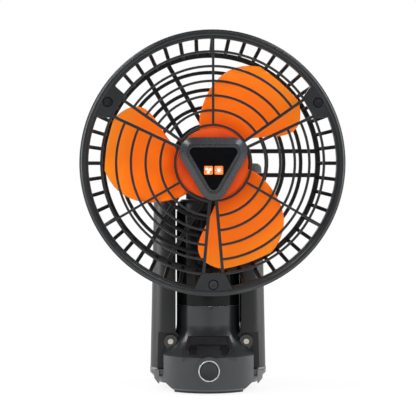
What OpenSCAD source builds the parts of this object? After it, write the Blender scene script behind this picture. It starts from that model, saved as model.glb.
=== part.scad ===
// Portable camping fan with a folding three-legged base.
// X is to the right, -Y is the front, +Z is up. The origin lies on the
// floor under the axis of the upright column. All lengths are millimetres.

/* [Fan head] */
// Height of the fan axis above the floor
fan_z = 177.5; // [176:0.5:190]
// Turn of the head and column about the upright axis at rest, degrees
head_yaw = 2.5; // [0:0.5:4]
// Outside radius of the cage flange
cage_r = 100; // [98:1:104]
// Radial width of the cage flange
flange_w = 6.8; // [6:0.2:9]
// Forward distance from the column axis to the front of the flange
cage_front = 64; // [64:0.5:70]
// Depth of the cage from flange front to rear grille back
cage_depth = 32; // [32:0.5:34]
// Distance of the rear grille's outer ring inside the cage's rim
rear_inset = 17.4; // [15:0.1:18]
// Radial spacing of the rear grille's rings
rear_pitch = 13.2; // [12:0.1:13.8]
// Number of slats round the side wall
slat_count = 48; // [24:6:60]
// Tangential width of one slat
slat_w = 2.8; // [2:0.1:3.4]

/* [Front grille] */
// Distance of the outermost guard ring inside the cage's rim
guard_inset = 16.4; // [15:0.1:20]
// Radial spacing of the guard rings
ring_pitch = 11; // [10:0.1:11.4]
// Number of guard rings
ring_count = 6; // [4:1:6]
// Radial width of a guard ring
ring_w = 1.9; // [1.4:0.1:2.6]
// Front-to-back depth of the guard rings and spokes
ring_t = 2.6; // [2:0.1:3.4]
// Width of a paired spoke
pair_spoke_w = 2.3; // [1.8:0.1:3]
// Half angle between the two spokes of a pair
pair_half_angle = 5; // [4:0.5:7]
// Distance of the grille screws inside the cage's rim
screw_inset = 9; // [8:0.1:10]

/* [Hub cover] */
// Distance from the fan axis to a flat side of the triangular cover
hub_in_r = 19.3; // [18:0.1:22]
// Radius of the cover's rounded corners
hub_corner_r = 10.7; // [7:0.1:12]
// Forward distance from the column axis to the cover's face
hub_front = 67.5; // [67.2:0.1:70]
// Distance from the fan axis to a flat side of the gloss panel
panel_in_r = 11.7; // [9:0.1:13]

/* [Impeller and motor] */
// Distance of the blade tips inside the cage's rim
tip_inset = 19; // [18:0.5:30]
// Radius of the impeller's hub cup
impeller_hub_r = 29; // [28:0.5:31]
// Axial half height that a blade sweeps through
blade_rise = 7.5; // [5:0.5:8]
// Thickness of a blade
blade_t = 2; // [1.6:0.1:2.6]
// Outside radius of the motor bell
bell_r = 24.5; // [23:0.5:25]
// Radius of the motor shaft
shaft_r = 2.5; // [2:0.1:3]
// Outside radius of a ball bearing
bearing_r = 6.5; // [6:0.5:7]

/* [Column and mast] */
// Outside radius of the column and of the base collar
column_r = 24.8; // [24:0.1:25]
// Height of the seam between base collar and column
seam_z = 66; // [63:0.5:68]
// Height of the column's top edge
column_top = 140; // [136:1:142]
// Inside radius of the column
column_bore_r = 20.9; // [20.5:0.1:21]
// Outside radius of the sliding mast
mast_r = 17.2; // [16:0.1:17.8]
// Wall of the sliding mast
mast_wall = 1.6; // [1.2:0.1:2.4]

/* [Folding legs] */
// Gap between the column and a folded leg's inner face
leg_gap = 0.8; // [0.7:0.1:3.2]
// Bottom radius of a leg's half-round section
leg_r = 20.4; // [19:0.1:21]
// Top radius of a leg's half-round section
leg_top_r = 16.6; // [15:0.1:17]
// Wall of a leg
leg_wall = 2.2; // [1.8:0.1:2.8]
// Extra distance of the rear leg from the column
rear_leg_out = 8; // [7.5:0.5:10]
// Height of the leg pivots
pivot_z = 38.4; // [37.5:0.1:38.6]
// Distance from a leg's inner face to its pivot
pivot_in = 4; // [3.5:0.1:4.5]
// Radius of a leg's pivot pin
pin_r = 1.6; // [1.4:0.1:2.2]
// Half width of a leg's heel between the hinge ears
heel_half_w = 13.9; // [12:0.1:14.2]

/* [Base] */
// Radius of the round base
base_r = 43; // [42:0.5:45]
// Half width of the base across its flat sides
base_half_w = 35; // [34.5:0.1:35.4]
// Narrowing of each side of the base towards the floor
taper_w = 7.8; // [5:0.1:8.4]
// Height of that narrowing
taper_h = 6; // [4:0.1:7]
// Height of the base's front edge
deck_z = 28.5; // [28:0.1:29.5]
// Height at which the housing starts
housing_z = 2.6; // [2.2:0.1:3]
// Wall of the base housing
base_wall = 2.2; // [1.8:0.1:2.6]
// Radius of the soft mat under the base
mat_r = 32; // [26:0.5:34]
// Height of the power button's centre
power_z = 18.7; // [17.5:0.1:19]
// Radius of the power button's bright ring
power_ring_r = 7.8; // [7.2:0.1:8.4]
// Radius of a small deck button
deck_button_r = 4.3; // [3.5:0.1:4.6]
// Half width of the charging port's cover
port_half_w = 14; // [12:0.5:15]
// Height of the port cover along the slope
port_h = 8.4; // [7.8:0.1:8.8]

/* [Clearances] */
// Radial clearance of running fits
fit = 0.05; // [0.03:0.01:0.08]
// Gap between pieces that move past each other
gap = 0.4; // [0.3:0.05:0.5]

/* [Hidden] */
$fn = 96;
e = 0.01;

// Leg and hinge geometry
leg_in = column_r + leg_gap;
pivot_x = leg_in + pivot_in;
heel_z = 17;
heel_reach = sqrt(pow(leg_in + leg_r - pivot_x, 2) + pow(pivot_z - heel_z, 2));
foot_top = heel_z - 0.5;
foot_low_z = 5;
foot_bevel_z = 12.6;
foot_low_r = leg_r - 6.7;
floor_half = base_half_w - taper_w;
eye_r = 8;
ear_r = 5.2;
ear_t = 3;
ear_in = heel_half_w + gap;
pocket_top = pivot_z + 5.1;
shell_z = pivot_z + ear_r + 1.8;
tip_z = fan_z - 7;
pin_head_r = pin_r + 0.6;

// Base housing
flare_top = 52;
neck_r = column_r - 2.1;
neck_z = 46;
index_angle = 4.6;
ring_z = 47.1;
apron_tilt = 45;
apron_y = base_r - 1.5;
apron_len = 21.4;
apron_low_half = 21;
apron_top_half = 16;
port_y = 12.4;
deck_button_y = 7;
deck_button_x = 12.5;
boss_r = power_ring_r + 2.9;
boss_front = base_r + 1.6;
power_cap_r = power_ring_r - 1;
wall_board_y = 7.6 - base_r;
wall_board_half = base_r - 26;
cell_half = min(base_r - 21.2, base_half_w - 13.2);
cell_t = 4.6;
cavity_back = wall_board_y + 18.2;
plate_z = 0.8;
board_switch_y = -boss_front + 6.3;
mat_sink = 0.6;

// Column and mast
bush_z = column_top - 12;
mast_low = seam_z + 1.5;
stop_h = 6;

// Cage radii, each set in from the rim
rear_ring_r = cage_r - rear_inset;
ring_r_max = cage_r - guard_inset;
guard_in_r = ring_r_max - (ring_count - 1) * ring_pitch;
screw_circle_r = cage_r - screw_inset;
blade_tip_r = cage_r - tip_inset;

// Head, as forward distances from the column axis
cage_back = cage_front - cage_depth;
flange_d = 8;
flange_in_r = cage_r - flange_w;
rear_t = 3;
rear_bar_y = 9.2;
disc_r = impeller_hub_r + 2;
housing_back = 26;
tilt_y = -8;
lug_half_w = 6;
cheek_t = 4;
guard_z = cage_front - 4.6;
impeller_front = guard_z - 2.4;
impeller_d = 17;
bell_front = impeller_front - 3;
bell_d = 14;

// Places a leg's own frame: +X points outwards, the inner face at leg_in
module leg_place(angle, out = 0) {
    rotate([0, 0, angle]) translate([out, 0, 0]) children();
}

module each_leg() {
    leg_place(180) children();
    leg_place(0) children();
    leg_place(90, rear_leg_out) children();
}

// A bar along the leg's hinge axis, centred on the leg's middle plane
module pivot_bar(r, half_l) {
    translate([pivot_x, 0, pivot_z]) rotate([90, 0, 0]) cylinder(r = r, h = 2 * half_l, center = true);
}

// The sloping control deck's own frame: +Y up the slope, +Z out of it
module apron() {
    translate([0, -apron_y, deck_z]) rotate([apron_tilt, 0, 0]) children();
}

// The fan's own frame: +Z forwards along the fan axis, measured from the column axis
module head() {
    rotate([0, 0, head_yaw]) translate([0, 0, fan_z]) rotate([90, 0, 0]) children();
}

module ring(r_out, r_in, z_low, z_high) {
    translate([0, 0, z_low]) difference() {
        cylinder(r = r_out, h = z_high - z_low);
        translate([0, 0, -1]) cylinder(r = r_in, h = z_high - z_low + 2);
    }
}

module disc(r, z_low, z_high) {
    translate([0, 0, z_low]) cylinder(r = r, h = z_high - z_low);
}

// A disc cut off flat at both sides
module flat_sided(r, half_w, z_low, z_high) {
    intersection() {
        disc(r, z_low, z_high);
        translate([-half_w, -r, z_low]) cube([2 * half_w, 2 * r, z_high - z_low]);
    }
}

// Fixed foot below a leg's heel, with a hollow top that the heel sweeps over
module foot() {
    difference() {
        union() {
            translate([leg_in, 0, foot_low_z])
                cylinder(r1 = foot_low_r, r2 = leg_r, h = foot_bevel_z - foot_low_z);
            translate([leg_in, 0, foot_bevel_z - e]) cylinder(r = leg_r, h = foot_top - foot_bevel_z + e);
        }
        pivot_bar(heel_reach + gap, heel_half_w + gap);
    }
}

module ear_pair() {
    for (s = [-1, 1]) translate([0, s * (ear_in + ear_t / 2), 0]) rotate([90, 0, 0])
        translate([0, 0, -ear_t / 2]) {
            translate([pivot_x, pivot_z, 0]) cylinder(r = ear_r, h = ear_t);
            translate([pivot_x - ear_r, foot_top - 4, 0])
                cube([2 * ear_r - 2, pivot_z - foot_top + 4, ear_t]);
        }
}

flare_points = concat(
    [[0, deck_z - 4], [base_r, deck_z - 4]],
    [for (i = [12:-1:0]) [column_r + (base_r - column_r) * pow(i / 12, 2.25),
        flare_top - (flare_top - deck_z) * i / 12]],
    [[column_r, seam_z], [0, seam_z]]);

// A bar from front to back with the base's side faces, narrower at the floor
module side_faces(inset, rise) {
    rotate([90, 0, 0]) linear_extrude(2 * base_r + 2, center = true) for (s = [-1, 1]) polygon([
        [0, housing_z - 1], [s * (floor_half - inset), housing_z - 1],
        [s * (floor_half - inset), housing_z + rise],
        [s * (base_half_w - inset), housing_z + rise + taper_h],
        [s * (base_half_w - inset), seam_z + 1], [0, seam_z + 1]]);
}

module base_solid() {
    intersection() {
        union() {
            translate([0, 0, housing_z]) cylinder(r1 = base_r - 1.4, r2 = base_r, h = 1.4);
            disc(base_r, housing_z + 1.4 - e, deck_z - 3);
            rotate_extrude() polygon(flare_points);
        }
        side_faces(0, 0);
    }
    apron() translate([0, 0, -9]) linear_extrude(9)
        polygon([[-apron_low_half, 0.4], [apron_low_half, 0.4],
            [apron_top_half, apron_len], [-apron_top_half, apron_len]]);
    translate([0, -boss_front, power_z]) rotate([-90, 0, 0]) cylinder(r = boss_r, h = 12);
    each_leg() foot();
    each_leg() ear_pair();
}

module base_cavity() {
    // Electronics bay behind the front wall
    intersection() {
        disc(base_r - base_wall, housing_z - 1, deck_z - base_wall - 3);
        translate([-base_half_w, -base_r, 0]) cube([2 * base_half_w, base_r + cavity_back, deck_z]);
        side_faces(base_wall, 1);
    }
    // Room under the mast, open to the bay
    disc(12.5, deck_z - 14, neck_z);
    translate([-9, -28, deck_z - 12]) cube([18, 28, 8]);
    // Swivel bearing and the room for its retaining ring
    disc(neck_r + fit, ring_z + 1.9, seam_z + 1);
    disc(neck_r + 1.4, pocket_top + 1.4, ring_z + 1.9 + e);
    // Recess for the bottom plate
    intersection() {
        disc(base_r - 5, housing_z - 1, housing_z + 1);
        side_faces(base_wall, 1);
    }
}

module each_plate_screw() {
    for (s = [-1, 1]) {
        translate([s * 18, -12, 0]) children();
        translate([s * 18, base_r - 16, 0]) children();
    }
}

module base_housing() {
    color([0.16, 0.17, 0.18]) difference() {
        base_solid();
        base_cavity();
        each_leg() {
            intersection() {
                pivot_bar(heel_reach + gap, heel_half_w + gap);
                translate([0, -leg_r, 0]) cube([60, 2 * leg_r, pocket_top]);
            }
            pivot_bar(eye_r + gap, heel_half_w + gap);
            translate([leg_in - gap, -heel_half_w - gap, pocket_top - 1])
                cube([30, 2 * (heel_half_w + gap), flare_top - pocket_top + 2]);
        }
        each_leg() {
            pivot_bar(pin_r + 0.02, leg_r);
            for (s = [-1, 1]) translate([pivot_x, s * (ear_in + ear_t + 4), pivot_z]) rotate([90, 0, 0])
                cylinder(r = ear_r - 1, h = 8, center = true);
        }
        latch_tab(0.02);
        // Bores for the power button and its ring
        translate([0, -boss_front - 1, power_z]) rotate([-90, 0, 0]) {
            cylinder(r = power_cap_r + gap, h = 20);
            cylinder(r = power_ring_r + 0.5, h = 2.2);
        }
        apron() {
            for (s = [-1, 1]) translate([s * deck_button_x, deck_button_y, -7])
                cylinder(r = deck_button_r + gap, h = 8);
            translate([0, deck_button_y, -12]) translate([-18, -3.6, 0]) cube([36, 7.2, 5.5]);
            translate([-port_half_w - gap, port_y - gap, -1.6])
                cube([2 * (port_half_w + gap), port_h + 2 * gap, 3]);
            translate([-5.2, port_y + 2, -10]) cube([10.4, 4.4, 11]);
        }
        ring(neck_r + 1, neck_r - 1, seam_z - 1.05, seam_z + 1);
        rotate([0, 0, index_angle]) translate([0, -column_r - 1, seam_z - 1.1]) rotate([-90, 0, 0])
            cylinder(r = 0.92, h = 1.98);
        each_plate_screw() cylinder(r = 1.3, h = 9);
    }
}

module bottom_plate() {
    color([0.12, 0.12, 0.13]) difference() {
        union() {
            flat_sided(base_r - 3, floor_half - 0.6, plate_z, housing_z - 0.05);
            flat_sided(base_r - 5 - gap, floor_half - base_wall - gap, housing_z - 0.1, housing_z + 0.95);
        }
        each_plate_screw() cylinder(r = 1.7, h = 9);
        each_plate_screw() cylinder(r = 2.9, h = plate_z + 1.5);
        flat_sided(mat_r + 0.1, floor_half - 3.3, 0, plate_z + mat_sink);
    }
}

module base_mat() {
    color([0.2, 0.2, 0.2]) flat_sided(mat_r, floor_half - 3.4, 0, plate_z + mat_sink);
}

module plate_screw() {
    disc(2.7, plate_z + mat_sink + 0.05, plate_z + 1.45);
    disc(1.25, plate_z + 1.45 - e, 8);
}

module plate_screws() {
    color("silver") each_plate_screw() plate_screw();
}

// Pale tongue let into the front of each side foot
module latch_tab(margin) {
    for (s = [-1, 1]) difference() {
        translate([s * (leg_in + leg_r - 5.6), 10 - leg_r, 0]) rotate([90, 0, 0])
            linear_extrude(6) polygon([
            [s * (-2 - margin), foot_low_z + 0.3 - margin], [-s * 1.2, foot_low_z + 0.3 - margin],
            [s * (2 + margin), foot_low_z + 4.5], [s * (2 + margin), foot_top - 0.5],
            [s * (-2 - margin), foot_top - 0.5]]);
        translate([s * leg_in, 0, 0]) cylinder(r = leg_r - 1.6 - margin, h = 60);
    }
}

module latch_tabs() {
    color([0.45, 0.46, 0.47]) latch_tab(0);
}

module power_ring() {
    color([0.8, 0.8, 0.8]) translate([0, -boss_front - 0.4, power_z]) rotate([-90, 0, 0]) difference() {
        cylinder(r = power_ring_r + 0.45, h = 1.55);
        translate([0, 0, -1]) cylinder(r = power_cap_r + gap, h = 4);
    }
}

module power_button() {
    color([0.2, 0.21, 0.22]) translate([0, -boss_front - 0.2, power_z]) rotate([-90, 0, 0])
        cylinder(r = power_cap_r, h = 5.2);
}

module deck_button(s) {
    color([0.13, 0.13, 0.14]) apron() translate([s * deck_button_x, deck_button_y, -4.6])
        cylinder(r = deck_button_r, h = 5);
}

module port_cover() {
    color([0.17, 0.18, 0.19]) apron() {
        translate([-port_half_w, port_y, -1.2]) cube([2 * port_half_w, port_h - 0.8, 1.8]);
        translate([0, port_y + port_h - 0.8, -0.3]) rotate([0, 90, 0])
            cylinder(r = 0.8, h = 2 * port_half_w, center = true);
        translate([-port_half_w + 3, port_y, 0.5]) cube([2 * port_half_w - 6, 1.2, 0.7]);
    }
}

module control_board() {
    color([0.1, 0.35, 0.2]) {
        translate([-wall_board_half, wall_board_y, housing_z + 2])
            cube([2 * wall_board_half, 1.6, 18]);
        translate([-3, board_switch_y, power_z - 3])
            cube([6, wall_board_y - board_switch_y + e, 6]);
    }
}

module battery_cells() {
    color([0.25, 0.4, 0.6]) for (i = [0:2])
        translate([-cell_half, wall_board_y + 3.1 + (cell_t + 0.2) * i, housing_z + 2.6])
            cube([2 * cell_half, cell_t, 17]);
}

module battery_tray() {
    color([0.3, 0.3, 0.3]) difference() {
        translate([-cell_half - 1.8, wall_board_y + 2.3, housing_z + 1.05])
            cube([2 * cell_half + 3.6, 15.7, 8]);
        translate([-cell_half - 0.2, wall_board_y + 2.9, housing_z + 2.55])
            cube([2 * cell_half + 0.4, 14.8, 12]);
    }
}

module charging_socket() {
    color("silver") apron() difference() {
        translate([-4.7, port_y + 2.3, -9.6]) cube([9.4, 3.8, 7.6]);
        translate([-4.1, port_y + 2.8, -8.4]) cube([8.2, 2.8, 8]);
    }
}

module button_board() {
    color([0.1, 0.35, 0.2]) apron() {
        translate([-17.4, deck_button_y - 3.2, -9]) cube([34.8, 6.4, 1.2]);
        for (s = [-1, 1]) translate([s * deck_button_x - 2, deck_button_y - 2, -7.9]) cube([4, 4, 1.9]);
    }
}

module leg_pins() {
    color("silver") each_leg() {
        pivot_bar(pin_r, ear_in + ear_t);
        for (s = [-1, 1]) translate([pivot_x, s * (ear_in + ear_t + 0.45), pivot_z]) rotate([90, 0, 0])
            cylinder(r = pin_head_r, h = 0.9, center = true);
    }
}

// Outside of a leg, drawn in by d: half of a slim upright cone
module leg_cone(d) {
    translate([leg_in, 0, 0]) cylinder(r1 = leg_r - d, r2 = leg_top_r - d, h = fan_z);
}

module leg() {
    color([0.17, 0.18, 0.19]) difference() {
        union() {
            difference() {
                intersection() {
                    leg_cone(0);
                    translate([leg_in, -30, shell_z]) cube([40, 60, tip_z - shell_z]);
                }
                intersection() {
                    leg_cone(leg_wall);
                    translate([leg_in - 1, -30, shell_z + 5]) cube([40, 60, fan_z]);
                }
            }
            for (z = [shell_z + 35 : 30 : tip_z - 20]) intersection() {
                leg_cone(leg_wall / 2);
                translate([leg_in + 5, -30, z]) cube([40, 60, 1.6]);
            }
            intersection() {
                leg_cone(0);
                translate([pivot_x, -heel_half_w, heel_z])
                    cube([40, 2 * heel_half_w, shell_z + 4 - heel_z]);
            }
            translate([leg_in, -heel_half_w, pivot_z])
                cube([pivot_in + 1, 2 * heel_half_w, shell_z + 4 - pivot_z]);
            pivot_bar(eye_r, heel_half_w);
        }
        pivot_bar(pin_r + fit, leg_r);
    }
}

// Soft plug that closes a leg's top end, and stands on the floor when the leg is open
module leg_tip() {
    tip_r = leg_r + (leg_top_r - leg_r) * tip_z / fan_z;
    tip_h = fan_z - tip_z;
    color([0.13, 0.13, 0.14]) intersection() {
        union() {
            translate([leg_in, 0, tip_z]) rotate_extrude() polygon(concat([[0, 0], [tip_r, 0]],
                [for (a = [0:15:90]) [tip_r - 4.5 + 4.4 * cos(a), tip_h - 4.5 + 4.5 * sin(a)]],
                [[0, tip_h]]));
            intersection() {
                leg_cone(leg_wall + 0.1);
                translate([leg_in, -30, tip_z - 6]) cube([40, 60, 6 + e]);
            }
        }
        translate([leg_in, -30, 0]) cube([40, 60, fan_z + 1]);
    }
}

module swivel_washer() {
    color([0.7, 0.7, 0.68]) ring(neck_r + 0.9, neck_r + 0.2, seam_z - 1, seam_z + 0.25);
}

module index_pin() {
    color("silver") rotate([0, 0, index_angle]) translate([0, -column_r - 0.3, seam_z - 1.1])
        rotate([-90, 0, 0]) cylinder(r = 0.9, h = 1.25);
}

// Everything above the seam turns with the head
module turned() {
    rotate([0, 0, head_yaw]) children();
}

module column_tube() {
    color([0.22, 0.23, 0.25]) turned() difference() {
        union() {
            disc(column_r, seam_z + 0.3, column_top);
            disc(neck_r, neck_z, seam_z + 1);
        }
        disc(column_bore_r, neck_z - 1, column_top + 1);
        ring(neck_r + 1, neck_r - 0.5, ring_z + 0.5, ring_z + 1.7);
        translate([0, -column_r - 1, seam_z]) rotate([-90, 0, 0]) cylinder(r = 1.9, h = 2.8);
    }
}

module retaining_ring() {
    color("silver") turned() difference() {
        ring(neck_r + 1, neck_r - 0.45, ring_z + 0.55, ring_z + 1.65);
        translate([-2, 0, ring_z]) cube([4, 30, 3]);
    }
}

module guide_bush() {
    color([0.75, 0.75, 0.72]) turned() ring(column_bore_r - 0.02, mast_r + fit, bush_z, column_top - 0.3);
}

module mast_tube() {
    color([0.6, 0.61, 0.63]) turned() ring(mast_r, mast_r - mast_wall, mast_low, column_top + 5);
}

module mast_stop_ring() {
    color([0.3, 0.3, 0.3]) turned()
        ring(column_bore_r - 0.3, mast_r + 0.02, mast_low + 0.5, mast_low + 0.5 + stop_h);
}

module neck_yoke() {
    cap_z = column_top + gap;
    cap_top = column_top + 9;
    color([0.16, 0.17, 0.18]) turned() difference() {
        union() {
            disc(column_r - 0.6, cap_z, cap_top - 3);
            translate([0, 0, cap_top - 3 - e]) cylinder(r1 = column_r - 0.6, r2 = column_r - 4, h = 3);
            disc(mast_r - mast_wall - 0.05, column_top - 8, cap_z + 1);
            for (s = [-1, 1]) translate([s * (lug_half_w + gap + cheek_t / 2) - cheek_t / 2, 0, 0])
                rotate([90, 0, 90]) {
                    translate([tilt_y, fan_z, 0]) cylinder(r = 9, h = cheek_t);
                    linear_extrude(cheek_t) polygon([[-17, cap_top - 1], [tilt_y - 9, fan_z],
                        [tilt_y + 9, fan_z], [10, cap_top - 1]]);
                }
        }
        ring(mast_r + 0.02, mast_r - mast_wall - 0.02, cap_z - 1, column_top + 5.1);
        translate([-30, tilt_y, fan_z]) rotate([0, 90, 0]) cylinder(r = 3.02, h = 60);
    }
}

module tilt_bar(r, x_low, x_high) {
    turned() translate([x_low, tilt_y, fan_z]) rotate([0, 90, 0]) cylinder(r = r, h = x_high - x_low);
}

module tilt_bolt() {
    color("silver") tilt_bar(3, -17, 17);
}

module tilt_knobs() {
    knob_in = lug_half_w + gap + cheek_t + 0.1;
    color([0.1, 0.1, 0.1]) for (s = [0, 1]) mirror_turn(s) difference() {
        tilt_bar(7, knob_in, 20);
        tilt_bar(3.02, knob_in - 1, 17.1);
    }
}

// Half a turn about the upright line through the fan's tilt axis
module mirror_turn(s) {
    turned() translate([0, tilt_y, 0]) rotate([0, 0, 180 * s]) translate([0, -tilt_y, 0])
        rotate([0, 0, -head_yaw]) children();
}

module tilt_bush() {
    color([0.75, 0.75, 0.72]) for (s = [0, 1]) mirror_turn(s) difference() {
        tilt_bar(7.6, lug_half_w + 0.02, lug_half_w + gap - 0.05);
        tilt_bar(3.2, lug_half_w - 1, lug_half_w + 3);
    }
}

module motor_housing() {
    color([0.15, 0.16, 0.17]) difference() {
        union() {
            head() {
                disc(disc_r - 0.5, housing_back, cage_back);
                disc(8, housing_back + 1, guard_z - 13.4);
            }
            tilt_bar(8.6, -lug_half_w, lug_half_w);
            turned() translate([-lug_half_w, -housing_back - 1, fan_z - 8.6])
                cube([2 * lug_half_w, housing_back + tilt_y + 1, 17.2]);
        }
        head() {
            ring(disc_r - 2.5, 10, housing_back + 2, cage_back + 1);
            disc(bearing_r, cage_back - 2, guard_z);
            disc(shaft_r + 1, housing_back + 3, guard_z);
            for (a = [60:120:300]) rotate([0, 0, a]) translate([disc_r - 5, 0, 0])
                cylinder(r = 1.4, h = cage_back + 1);
        }
        tilt_bar(3 + fit, -10, 10);
    }
}

module housing_screws() {
    color("silver") head() for (a = [60:120:300]) rotate([0, 0, a]) translate([disc_r - 5, 0, 0]) {
        disc(1.35, housing_back - 0.1, cage_back + rear_t - 0.8);
        disc(2.6, housing_back - 1, housing_back);
    }
}

module rear_grille() {
    color([0.1, 0.1, 0.11]) head() difference() {
        union() {
            disc(disc_r, cage_back, cage_back + rear_t);
            for (i = [1:3]) ring(rear_ring_r - i * rear_pitch + 1.4,
                rear_ring_r - i * rear_pitch - 1.4, cage_back, cage_back + rear_t);
            ring(rear_ring_r + 2, rear_ring_r - 2, cage_back, cage_back + rear_t);
            for (a = [0:120:240], s = [-1, 1]) rotate([0, 0, a])
                translate([disc_r - 3, s * rear_bar_y - 1.7, cage_back + 0.2])
                    cube([rear_ring_r - disc_r + 2.4, 3.4, rear_t - 0.4]);
            ring(cage_r - 1.6, flange_in_r + 1, cage_front - 12, cage_front - flange_d);
            for (i = [0 : slat_count - 1]) rotate([0, 0, 360 * i / slat_count]) rotate([90, 0, 0])
                translate([0, 0, -slat_w / 2]) linear_extrude(slat_w)
                    polygon([[cage_r - 2, cage_front - flange_d - 0.2],
                        [flange_in_r + 1.4, cage_front - flange_d - 0.2],
                        [rear_ring_r - 1, cage_back + rear_t], [rear_ring_r - 1, cage_back + 0.2],
                        [rear_ring_r + 1.8, cage_back + 0.2]]);
            for (a = [30:120:270]) rotate([0, 0, a]) translate([screw_circle_r, 0, cage_back + 12])
                cylinder(r = 3.4, h = cage_front - 4.1 - cage_back - 12);
        }
        disc(8.4, cage_back - 1, cage_front);
        for (a = [30:120:270]) rotate([0, 0, a]) translate([screw_circle_r, 0, cage_front - 16])
            cylinder(r = 1.3, h = 20);
        for (a = [60:120:300]) rotate([0, 0, a]) translate([disc_r - 5, 0, 0])
            cylinder(r = 1.4, h = cage_front);
        ring(cage_r + 1, flange_in_r - 0.1, cage_front - flange_d, cage_front);
    }
}

// Rounded triangle with a corner pointing down
module rounded_triangle(in_r, corner_r) {
    hull() for (a = [30:120:270]) rotate(a) translate([2 * (in_r - corner_r), 0])
        circle(r = corner_r, $fn = 48);
}

module front_grille() {
    color([0.16, 0.17, 0.18]) head() difference() {
        union() {
            translate([0, 0, cage_front]) rotate_extrude() polygon([
                [flange_in_r, 0.5 - flange_d], [flange_in_r, -2.4], [flange_in_r + 1.3, -2.4],
                [flange_in_r + 2, -0.6], [flange_in_r + 3, 0], [cage_r - 2.2, 0], [cage_r - 1.4, -0.8],
                [cage_r - 1.2, -2], [cage_r, -2.6],
                [cage_r, 0.1 - flange_d], [flange_in_r + 1.5, 0.1 - flange_d]]);
            for (p = [30:120:270]) rotate([0, 0, p]) {
                for (i = [0 : ring_count - 1]) rotate([0, 0, pair_half_angle])
                    rotate_extrude(angle = 120 - 2 * pair_half_angle)
                        translate([ring_r_max - i * ring_pitch - ring_w / 2, guard_z])
                            square([ring_w, ring_t]);
                for (s = [-1, 1]) rotate([0, 0, s * pair_half_angle])
                    translate([23, -pair_spoke_w / 2, guard_z - 0.1])
                        cube([ring_r_max - 20, pair_spoke_w, ring_t + 0.3]);
                rotate([0, 0, 60]) translate([guard_in_r, -ring_w / 2, guard_z + 0.1])
                    cube([flange_in_r - guard_in_r + 1, ring_w, ring_t - 0.3]);
                translate([0, 0, cage_front - 4]) linear_extrude(3.4)
                    polygon([[ring_r_max - 1, -8.7], [ring_r_max - 1, 8.7],
                        [flange_in_r + 2.4, 15.2], [flange_in_r + 2.4, -15.2]]);
            }
            translate([0, 0, guard_z + 2.1]) linear_extrude(cage_front - 0.5 - guard_z - 2.1)
                rounded_triangle(hub_in_r - 0.6, hub_corner_r - 0.6);
        }
        for (a = [30:120:270]) rotate([0, 0, a]) translate([screw_circle_r, 0, 0]) {
            disc(1.6, cage_front - 10, cage_front + 1);
            disc(3.8, cage_front - 1.8, cage_front + 1);
        }
    }
}

module grille_screws() {
    color([0.05, 0.05, 0.05]) head() for (a = [30:120:270]) rotate([0, 0, a])
        translate([screw_circle_r, 0, 0]) difference() {
            union() {
                disc(1.25, cage_front - 14, cage_front - 1.7);
                disc(3.1, cage_front - 1.75, cage_front - 0.6);
            }
            for (q = [0, 90]) rotate([0, 0, q]) translate([-1.8, -0.35, cage_front - 1.3])
                cube([3.6, 0.7, 2]);
        }
}

module hub_frame() {
    color([0.17, 0.18, 0.19]) head() difference() {
        translate([0, 0, cage_front - 0.5 + 0.02]) linear_extrude(hub_front - cage_front + 0.48)
            rounded_triangle(hub_in_r, hub_corner_r);
        translate([0, 0, hub_front - 2]) linear_extrude(4) rounded_triangle(panel_in_r + 0.15, 3.4);
    }
}

module hub_panel() {
    color([0.03, 0.03, 0.03]) head() translate([0, 0, hub_front - 2 + 0.02]) linear_extrude(1)
        rounded_triangle(panel_in_r, 3.3);
}

module hub_tiles() {
    color([0.95, 0.45, 0.1]) head() for (s = [-1, 1])
        translate([3.85 * s - 3.25, -8.55, hub_front - 1 + 0.04]) cube([6.5, 6.5, 0.3]);
}

module motor_stator() {
    color([0.72, 0.45, 0.2]) head() difference() {
        union() {
            ring(11, 8.05, bell_front - bell_d + 1.5, bell_front - 3);
            for (a = [0:40:320]) rotate([0, 0, a]) translate([9, -1.6, bell_front - bell_d + 1.5])
                cube([13.2, 3.2, bell_d - 4.5]);
            for (a = [0:40:320]) rotate([0, 0, a]) translate([12, -3, bell_front - bell_d + 2.5])
                cube([7, 6, bell_d - 6.5]);
        }
        disc(8.05, 0, bell_front);
    }
}

module motor_board() {
    color([0.1, 0.35, 0.2]) head() ring(disc_r - 7, 10.2, cage_back - 2.6, cage_back - 1);
}

module bearing(z) {
    color([0.75, 0.75, 0.77]) head() ring(bearing_r - 0.02, shaft_r + fit, z, z + 3.9);
}

module motor_bell() {
    color([0.5, 0.5, 0.52]) head() difference() {
        union() {
            ring(bell_r, bell_r - 1.7, bell_front - bell_d, bell_front);
            disc(bell_r, bell_front - 1.6, bell_front);
            disc(5.5, bell_front - 5, bell_front);
        }
        disc(shaft_r, 0, cage_front);
    }
}

module motor_shaft() {
    color("silver") head() disc(shaft_r - 0.01, housing_back + 3.6, impeller_front + 4);
}

// Blade outline: mean angle and half span at radius r, as an angle about the fan axis
root_r = impeller_hub_r - 2;
function mean_angle(r) = 49.5 + 27 * pow(max(0, 1 - (r - root_r) / (blade_tip_r - root_r)), 1.7);
function half_span(r) = 37 * sqrt(1 - pow(r / (1.02 * blade_tip_r), 6)) * min(1, 0.9 + (r - root_r) / 80);
blade_rows = 11;
blade_cols = 10;
function blade_point(i, j, side) =
    let (r = root_r + (blade_tip_r - root_r) * sin(90 * i / blade_rows),
         t = 2 * j / blade_cols - 1,
         a = mean_angle(r) + t * half_span(r),
         z = impeller_front - impeller_d / 2 + blade_rise * t * half_span(r) / 37 - 1.5 * (1 - t * t))
    [r * cos(a), r * sin(a), z + side * blade_t / 2];

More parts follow.
